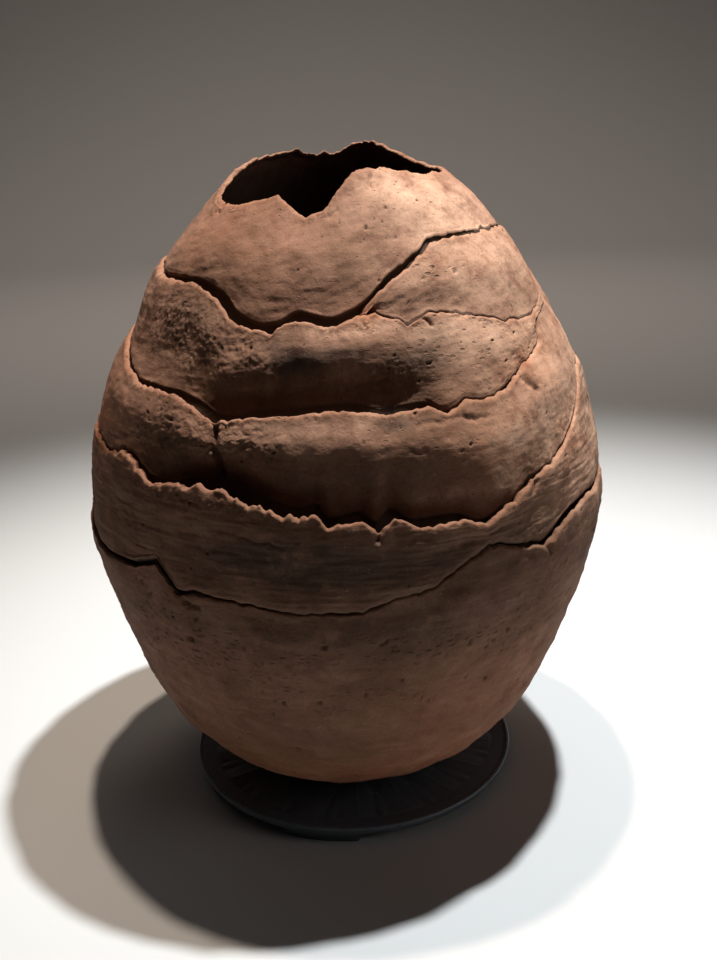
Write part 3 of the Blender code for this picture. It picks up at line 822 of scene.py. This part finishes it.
def layered_material(name, fields, stored, masks, base, layers, bumps, roughness, specular):
    """Make a material from tables: texture fields and stored attributes, masks that stretch
    a field between two values and may be multiplied by another, colour layers laid over a
    base by those masks, bumps from the fields, and a range of roughness along one field."""
    material = bpy.data.materials.new(name)
    material.use_nodes = True
    tree = material.node_tree
    shader = tree.nodes["Principled BSDF"]
    place = add_node(tree, 'ShaderNodeTexCoord').outputs["Object"]
    values = {}
    for key, (kind, size, stretch, *detail) in fields.items():
        at = add_node(tree, 'ShaderNodeMapping', {"Vector": place, "Scale": stretch})
        node = add_node(tree, kind, {"Vector": at.outputs[0], "Scale": 1 / (size * MM),
                                     **dict(zip(("Detail", "Roughness"), detail))})
        values[key] = node.outputs[0]
    for key in stored:
        values[key] = add_node(tree, 'ShaderNodeAttribute', attribute_name=key).outputs["Fac"]
    for key, field, low, high, strength, other in masks:
        node = add_node(tree, 'ShaderNodeMapRange', {"Value": values[field], "From Min": low,
                                                     "From Max": high, "To Max": strength})
        if other:
            node = add_node(tree, 'ShaderNodeMath', {0: node.outputs[0], 1: values[other]},
                            operation='MULTIPLY')
        values[key] = node.outputs[0]
    colour = (*base, 1.0)
    for mask, layer, blend in layers:
        node = add_node(tree, 'ShaderNodeMix', {0: values[mask], 6: colour, 7: (*layer, 1.0)},
                        data_type='RGBA', blend_type=blend)
        colour = node.outputs[2]
    tree.links.new(colour, shader.inputs["Base Color"])
    normal = None
    for field, distance, strength, inward in bumps:
        inputs = {"Height": values[field], "Distance": distance * MM,
                  "Strength": values[strength] if isinstance(strength, str) else strength}
        if normal:
            inputs["Normal"] = normal
        normal = add_node(tree, 'ShaderNodeBump', inputs, invert=inward).outputs[0]
    tree.links.new(normal, shader.inputs["Normal"])
    field, smoothest, roughest = roughness
    node = add_node(tree, 'ShaderNodeMapRange', {"Value": values[field], "To Min": smoothest,
                                                 "To Max": roughest})
    tree.links.new(node.outputs[0], shader.inputs["Roughness"])
    shader.inputs["Specular IOR Level"].default_value = specular
    return material


NOISE, CELLS, EVEN = 'ShaderNodeTexNoise', 'ShaderNodeTexVoronoi', (1, 1, 1)


def clay_material(sizes):
    """Coarse fired clay, unglazed."""
    # The eye gets a dry, matt, warm earth: pink and brown mottling, orange and pale flushes and
    # smoke from the firing, pale grains, small dark pores and deep red-brown cracks. Part of this
    # is painted light: the pale flushes on the right are partly painted light, the smoke on the
    # shaded front and bowl is partly painted shade, the dark of the pores, pits, cracks and the
    # inside is painted shade, and the orange on the torn rims is partly a painted highlight.
    # Real grains and pores are mostly under a millimetre. They are drawn coarser, at the
    # sizes below in millimetres, so that they show.
    existing = bpy.data.materials.get("coarse_fired_clay")
    if existing:
        return existing
    fields = {
        "clouds": (NOISE, 42, EVEN, 4.0, 0.6),
        "mottle": (NOISE, 13, EVEN, 6.0, 0.65),
        "drift": (NOISE, 22, (1, 1, 1.7), 5.0, 0.6),
        "streaks": (NOISE, 26, (1, 1, 5), 5.0, 0.7),
        "grain": (NOISE, 1.3, EVEN, 3.0, 0.7),
        "scatter": (NOISE, 5, EVEN, 3.0, 0.55),
        "skin": (NOISE, 3.6, EVEN, 4.0, 0.7),
        "grogs": (CELLS, 2.2, EVEN),
        "pores": (CELLS, 3.2, (1, 1, 1.6)),
        "holes": (CELLS, 5.6, (1, 1, 2.0)),
    }
    stored = ("rim", "rough", "pit", "smoke", "warm", "pale", "crack", "inside", "pitted",
              "dragged")
    masks = (
        ("browned", "clouds", 0.4, 0.6, 1.0, None),
        ("tanned", "drift", 0.5, 0.75, 0.22, None),
        ("warmed", "mottle", 0.2, 0.6, 1.0, "warm"),
        ("paled_and_lit", "mottle", 0.75, 0.3, 1.0, "pale"),
        ("streaked", "streaks", 0.35, 0.75, 0.8, "dragged"),
        ("dusky", "mottle", 0.5, 0.7, 0.9, None),
        ("smoked_and_shaded", "mottle", 0.2, 0.45, 1.0, "smoke"),
        ("crumbled", "skin", 0.35, 0.65, 0.6, "rough"),
        ("spread", "scatter", 0.54, 0.66, 1.0, None),
        ("pale_grains", "grogs", 0.2, 0.12, 0.25, "spread"),
        ("gathered", "scatter", 0.5, 0.36, 1.0, None),
        ("open_pores", "pores", 0.2, 0.1, 0.7, "gathered"),
        ("opened", "mottle", 0.4, 0.5, 1.0, "pitted"),
        ("deep_pores", "holes", 0.3, 0.2, 1.0, "opened"),
        ("dark_grains", "grain", 0.5, 0.8, 0.9, None),
        ("crack_shade", "crack", 0.0, 1.0, 0.9, None),
        ("rim_tint_and_highlight", "rim", 0.0, 1.0, 0.18, None),
        ("pit_shade", "pit", 0.0, 1.0, 0.6, None),
        ("inside_shade", "inside", 0.0, 1.0, 0.7, None),
        ("rough_bump", "rough", 0.0, 1.0, 0.9, None),
        ("streak_bump", "streaks", 0.0, 1.0, 1.0, "dragged"),
    )
    layers = (
        ("browned", sizes.brown, 'MIX'),
        ("tanned", sizes.pale, 'MIX'),
        ("warmed", sizes.warm, 'MIX'),
        # Pale patches, partly painted light on the right-hand side
        ("paled_and_lit", sizes.pale, 'MIX'),
        ("streaked", (0.74, 0.69, 0.66), 'MULTIPLY'),
        ("dusky", (0.66, 0.61, 0.6), 'MULTIPLY'),
        ("crumbled", (0.55, 0.48, 0.42), 'MULTIPLY'),
        # Smoke patches, partly painted shade on the shaded front and bowl
        ("smoked_and_shaded", sizes.smoke, 'MIX'),
        ("pale_grains", sizes.grog, 'MIX'),
        ("dark_grains", (0.6, 0.55, 0.53), 'MULTIPLY'),
        # Orange on the torn rims: partly the raw clay, partly a painted highlight where the lamps
        # catch the lips
        ("rim_tint_and_highlight", sizes.warm, 'MIX'),
        # Painted shade deep in the cracks
        ("crack_shade", sizes.crevice_shade, 'MIX'),
        # Painted shade in the pits
        ("pit_shade", sizes.smoke, 'MIX'),
        # Painted shade in the pores, which the bumps also press in
        ("open_pores", sizes.smoke, 'MIX'),
        ("deep_pores", sizes.smoke, 'MIX'),
        # Painted shade over the inside of the wall, in the mouth and behind the cracks
        ("inside_shade", sizes.smoke, 'MIX'),
    )
    bumps = (("streak_bump", 0.6, 0.6, False), ("mottle", 0.9, 0.6, False),
             ("skin", 1.0, "rough_bump", False), ("open_pores", 0.5, 0.8, True),
             ("deep_pores", 1.0, 0.9, True), ("grain", 0.25, 0.8, False))
    return layered_material("coarse_fired_clay", fields, stored, masks, sizes.pink, layers, bumps,
                            ("mottle", 0.78, 0.96), 0.3)


def iron_material(settings):
    """Blackened cast iron, worn on its lip, with a painted highlight there."""
    # The eye gets a heavy, nearly black metal: a dull satin sheen, a faint grain from the
    # sand mould and a greyer lip, partly rubbed and partly a painted highlight along its top.
    # What shows is a skin of oxide and blacking, not bare iron, so the shader is not metallic.
    # The mould's grain is drawn coarser than sand, at 1.4 mm, so that it shows.
    fields = {"cloud": (NOISE, 18, EVEN, 4.0, 0.6), "grain": (NOISE, 1.4, EVEN, 3.0, 0.6)}
    masks = (("rubbed_and_highlit", "grain", 0.35, 0.65, 1.0, "worn"),
             ("dusty", "cloud", 0.45, 0.8, 0.25, None))
    layers = (("rubbed_and_highlit", settings.worn, 'MIX'), ("dusty", settings.worn, 'MIX'))
    return layered_material("blackened_cast_iron", fields, ("worn",), masks, settings.iron, layers,
                            (("grain", 0.15, 0.5, False),), ("cloud", 0.3, 0.5), 0.5)


def leaf_relief(angles, share):
    """Relief of the ring of leaves from 0 to 1: every leaf is domed across, widest halfway,
    with a raised rib down its middle, and a smaller one shows between each two."""
    step = 360 / LEAF_COUNT
    across_leaf = ((angles / step + 0.5) % 1 - 0.5) * 2
    across_small = ((angles / step) % 1 - 0.5) * 2
    width = 0.25 + 0.72 * np.sin(np.pi * np.clip(share * 0.92 + 0.04, 0, 1)) ** 0.8
    dome = np.sqrt(np.clip(1 - (across_leaf / width) ** 2, 0, 1))
    rib = np.exp(-(across_leaf / 0.07) ** 2)
    veins = 0.5 + 0.5 * np.cos((np.abs(across_leaf) * 3.0 - share * 7) * 2 * np.pi)
    tip = ease(share / 0.08) * ease((1 - share) / 0.06)
    small_width = 0.34 * np.sin(np.pi * np.clip(share * 1.5, 0, 1)) + 1e-3
    small = 0.6 * np.sqrt(np.clip(1 - (across_small / small_width) ** 2, 0, 1))
    leaf = dome * (0.72 + 0.1 * veins) + 0.25 * rib * (dome > 0)
    return tip * np.maximum(leaf, small * (share < 0.66))


def stand_rows(angles, settings):
    """Rows of the stand's section as height, radius and the mask of wear and painted highlight:
    under the plate and its feet, up the edge, over the lip and the border, and in across the
    leaves to the seat."""
    level = np.ones_like(angles)
    footing = np.zeros_like(angles)
    for centre in FOOT_CENTRES:
        away = np.abs((angles - centre + 180) % 360 - 180)
        footing = np.maximum(footing, ease((FOOT_HALF_ANGLE + 1.5 - away) / 1.5))
    below = FOOT_HEIGHT * (1 - footing)
    radius = settings.radius
    lip_in = radius - settings.lip
    leaf_out = lip_in - BORDER_WIDTH
    top = STAND_HIGH.z - 0.1 * MM
    rows = [(FOOT_HEIGHT * level, r * level, 0.0) for r in (0.02, 0.05, 0.07)]
    rows += [(FOOT_HEIGHT * level, (FOOT_INNER - FOOT_SLOPE) * level, 0.0)]
    rows += [(below, (FOOT_INNER + (FOOT_OUTER - FOOT_INNER) * k) * level, 0.0)
             for k in (0.0, 0.05, 0.35, 0.65, 0.95, 1.0)]
    rows += [(FOOT_HEIGHT * level, (FOOT_OUTER + FOOT_SLOPE) * level, 0.0),
             (EDGE_LOW * level, (radius - 0.5 * MM) * level, 0.2)]
    # The third value greys the lip's top: partly wear, partly a painted highlight
    for turn in np.linspace(-60, 180, 15):
        swing = np.radians(turn)
        rise = (top - EDGE_LOW) / 2
        rows.append(((EDGE_LOW + rise + rise * np.sin(swing)) * level,
                     (radius - settings.lip / 2 + settings.lip / 2 * np.cos(swing)) * level,
                     float(ease(np.sin(swing)))))
    for k in (0.0, 0.15, 0.5, 0.85, 1.0):
        height = BORDER_HEIGHT + (SEAT_HEIGHT + 0.4 * MM - BORDER_HEIGHT) * k
        rows.append((height * level, (lip_in - 0.3 * MM - BORDER_WIDTH * k) * level, 0.1))
    for k in np.linspace(0.0, 1.0, LEAF_ROWS)[1:]:
        relief = settings.leaf * leaf_relief(angles, k)
        rows.append((SEAT_HEIGHT - 0.1 * MM + relief,
                     (leaf_out + (SEAT_RADIUS - leaf_out) * k - 0.5 * MM) * level, 0.1))
    rows += [(SEAT_HEIGHT * level, r * level, 0.0) for r in (0.0485, 0.03, 0.012)]
    return rows


def put(name, data, side, up, back, place):
    """Link a lamp or a camera at its place, with its axes to the side, up and back."""
    obj = bpy.data.objects.new(name, data)
    bpy.context.collection.objects.link(obj)
    columns = np.stack((side, up, back, np.array(place)), axis=1)
    obj.matrix_world = Matrix(columns.tolist() + [[0, 0, 0, 1]])
    return obj


def make_camera():
    """Camera at the photo's viewing angle: pitched down, and turned by its small roll."""
    pitch, roll, yaw = np.radians((CAMERA_PITCH, CAMERA_ROLL, CAMERA_YAW))
    forward = np.array((0, np.cos(pitch), -np.sin(pitch)))
    up = np.array((0, np.sin(pitch), np.cos(pitch)))
    right = np.array((1.0, 0, 0))
    turn = np.array(((np.cos(yaw), -np.sin(yaw), 0), (np.sin(yaw), np.cos(yaw), 0), (0, 0, 1)))
    forward, up, right = turn @ forward, turn @ up, turn @ right
    right, up = (np.cos(roll) * right + np.sin(roll) * up,
                 np.cos(roll) * up - np.sin(roll) * right)
    data = bpy.data.cameras.new("camera")
    data.sensor_width = 36.0
    data.lens = CAMERA_FOCAL_PIXELS / IMAGE_HEIGHT * data.sensor_width
    bpy.context.scene.camera = put("camera", data, right, up, -forward, CAMERA_PLACE)


def add_lamp(name, power):
    """Add a soft lamp that throws a pool of light round its aim."""
    place, aim, size, spread, colour = LAMPS[name]
    away = np.array(place) - np.array(aim)
    data = bpy.data.lights.new(f"{name}_lamp", 'SPOT')
    data.shadow_soft_size = size
    data.energy = power
    data.color = colour
    data.spot_size = 2 * np.arctan(spread / np.linalg.norm(away))
    data.spot_blend = 1.0
    away /= np.linalg.norm(away)
    side = np.cross((0, 1, 0.01), away)
    side /= np.linalg.norm(side)
    put(f"{name}_lamp", data, side, np.cross(away, side), away, place)


def make_stage(settings):
    """Pale round floor that curves up into a backdrop on every side."""
    turn = np.linspace(0, np.pi / 2, 13)
    reach = np.concatenate((FLOOR_RINGS, STAGE_RADIUS + STAGE_CURVE * np.sin(turn),
                            (STAGE_RADIUS + STAGE_CURVE,)))
    height = np.concatenate((np.zeros(len(FLOOR_RINGS)), STAGE_CURVE * (1 - np.cos(turn)),
                             (STAGE_TOP,)))
    angles = np.linspace(0, 2 * np.pi, STAGE_COLUMNS, endpoint=False)
    rings = np.stack((np.outer(reach, np.cos(angles)), np.outer(reach, np.sin(angles)),
                      np.outer(height, np.ones_like(angles))), -1)
    points = np.concatenate((rings.reshape(-1, 3), np.zeros((1, 3))))
    quads = grid_faces(len(reach), len(angles), False)
    ring = np.arange(len(angles))
    middle = np.stack((np.full_like(ring, len(points) - 1), ring, np.roll(ring, -1)), -1)
    floor = mesh_object("floor", points, [quads[:, ::-1], middle], {})
    # Matt paper gives the eye one soft pale tone that only shows the shadows
    material = bpy.data.materials.new("matt_paper_floor")
    material.use_nodes = True
    shader = material.node_tree.nodes["Principled BSDF"]
    shader.inputs["Base Color"].default_value = (*settings.floor, 1.0)
    shader.inputs["Roughness"].default_value = 0.9
    floor.data.materials.append(material)


def make_world():
    """Even, weak grey light from all sides."""
    world = bpy.data.worlds.new("soft_grey")
    world.use_nodes = True
    background = world.node_tree.nodes["Background"]
    background.inputs["Color"].default_value = WORLD_COLOUR
    background.inputs["Strength"].default_value = WORLD_STRENGTH
    bpy.context.scene.world = world
    bpy.context.scene.view_settings.view_transform = 'Standard'


class CLAYVASE_OT_bowl(Operator):
    """Make the bowl, the lowest part of the vase, with its base and floor"""
    bl_idname = "clay_vase.bowl"
    bl_label = "Make Bowl"

    def execute(self, context):
        sizes = context.scene.clay_vase
        angles = column_angles(BOWL_COLUMNS, BOWL_CROWDING, 0.0)
        rows = bowl_rows(angles, sizes)
        place, masks = clay_grid("bowl", angles, rows, sizes)
        bowl = capped_grid("clay_bowl", place, masks, (LEAN_START, 0, VASE_LOW.z),
                           (LEAN_START, 0, VASE_LOW.z + FLOOR_THICKNESS))
        dress(bowl, "vase", clay_material(sizes))
        return {'FINISHED'}


class CLAYVASE_OT_slabs(Operator):
    """Make the five slabs above the bowl, each torn along its rim"""
    bl_idname = "clay_vase.slabs"
    bl_label = "Make Slabs"

    def execute(self, context):
        sizes = context.scene.clay_vase
        for name, (_, _, columns, _, crowding, centre) in SLABS.items():
            angles = column_angles(columns, crowding, centre)
            rows = slab_rows(name, angles, sizes)
            place, masks = clay_grid(name, angles, rows, sizes)
            faces = [grid_faces(len(rows), columns, True)]
            slab = mesh_object(f"clay_{name}_slab", place.reshape(-1, 3), faces, masks)
            dress(slab, "vase", clay_material(sizes))
        return {'FINISHED'}


class CLAYVASE_OT_stand(Operator):
    """Make the cast stand with its lip, leaves and bracket feet"""
    bl_idname = "clay_vase.stand"
    bl_label = "Make Stand"

    def execute(self, context):
        settings = context.scene.clay_stand
        columns = LEAF_COUNT * LEAF_COLUMNS
        angles = np.arange(columns) * 360.0 / columns
        rows = stand_rows(angles, settings)
        height = np.array([row[0] for row in rows])
        radius = np.array([row[1] for row in rows])
        turn = np.radians(angles)
        place = np.stack((radius * np.sin(turn), -radius * np.cos(turn), height), -1)
        worn = np.array([row[2] + 0 * angles for row in rows])
        stand = capped_grid("cast_stand", place, {"worn": worn}, (0, 0, FOOT_HEIGHT),
                            (0, 0, SEAT_HEIGHT))
        dress(stand, "stand", iron_material(settings))
        return {'FINISHED'}


class CLAYVASE_OT_stage(Operator):
    """Set up the floor, the lamps, the world and the camera"""
    bl_idname = "clay_vase.stage"
    bl_label = "Make Stage"

    def execute(self, context):
        settings = context.scene.clay_stage
        make_stage(settings)
        make_world()
        for name in LAMPS:
            add_lamp(name, getattr(settings, f"{name}_power"))
        make_camera()
        return {'FINISHED'}


class CLAYVASE_PT_panel(Panel):
    """List the settings of the vase, the stand and the stage, and their operators"""
    bl_idname = "CLAYVASE_PT_panel"
    bl_label = "Clay Vase"
    bl_space_type = 'VIEW_3D'
    bl_region_type = 'UI'
    bl_category = "Clay Vase"

    def draw(self, context):
        for group, operators in PANEL_PARTS:
            settings = getattr(context.scene, group)
            box = self.layout.box()
            for key in settings.__annotations__:
                box.prop(settings, key)
            for operator in operators:
                box.operator(operator.bl_idname)


PANEL_PARTS = (("clay_vase", (CLAYVASE_OT_bowl, CLAYVASE_OT_slabs)),
               ("clay_stand", (CLAYVASE_OT_stand,)), ("clay_stage", (CLAYVASE_OT_stage,)))
CLASSES = (VaseSettings, StandSettings, StageSettings, CLAYVASE_OT_bowl, CLAYVASE_OT_slabs,
           CLAYVASE_OT_stand, CLAYVASE_OT_stage, CLAYVASE_PT_panel)


def register():
    for item in CLASSES:
        bpy.utils.register_class(item)
    bpy.types.Scene.clay_vase = PointerProperty(type=VaseSettings)
    bpy.types.Scene.clay_stand = PointerProperty(type=StandSettings)
    bpy.types.Scene.clay_stage = PointerProperty(type=StageSettings)


def unregister():
    del bpy.types.Scene.clay_stage
    del bpy.types.Scene.clay_stand
    del bpy.types.Scene.clay_vase
    for item in reversed(CLASSES):
        bpy.utils.unregister_class(item)


def main():
    register()
    bpy.ops.clay_vase.stage()
    bpy.ops.clay_vase.bowl()
    bpy.ops.clay_vase.slabs()
    bpy.ops.clay_vase.stand()


if __name__ == "__main__":
    main()
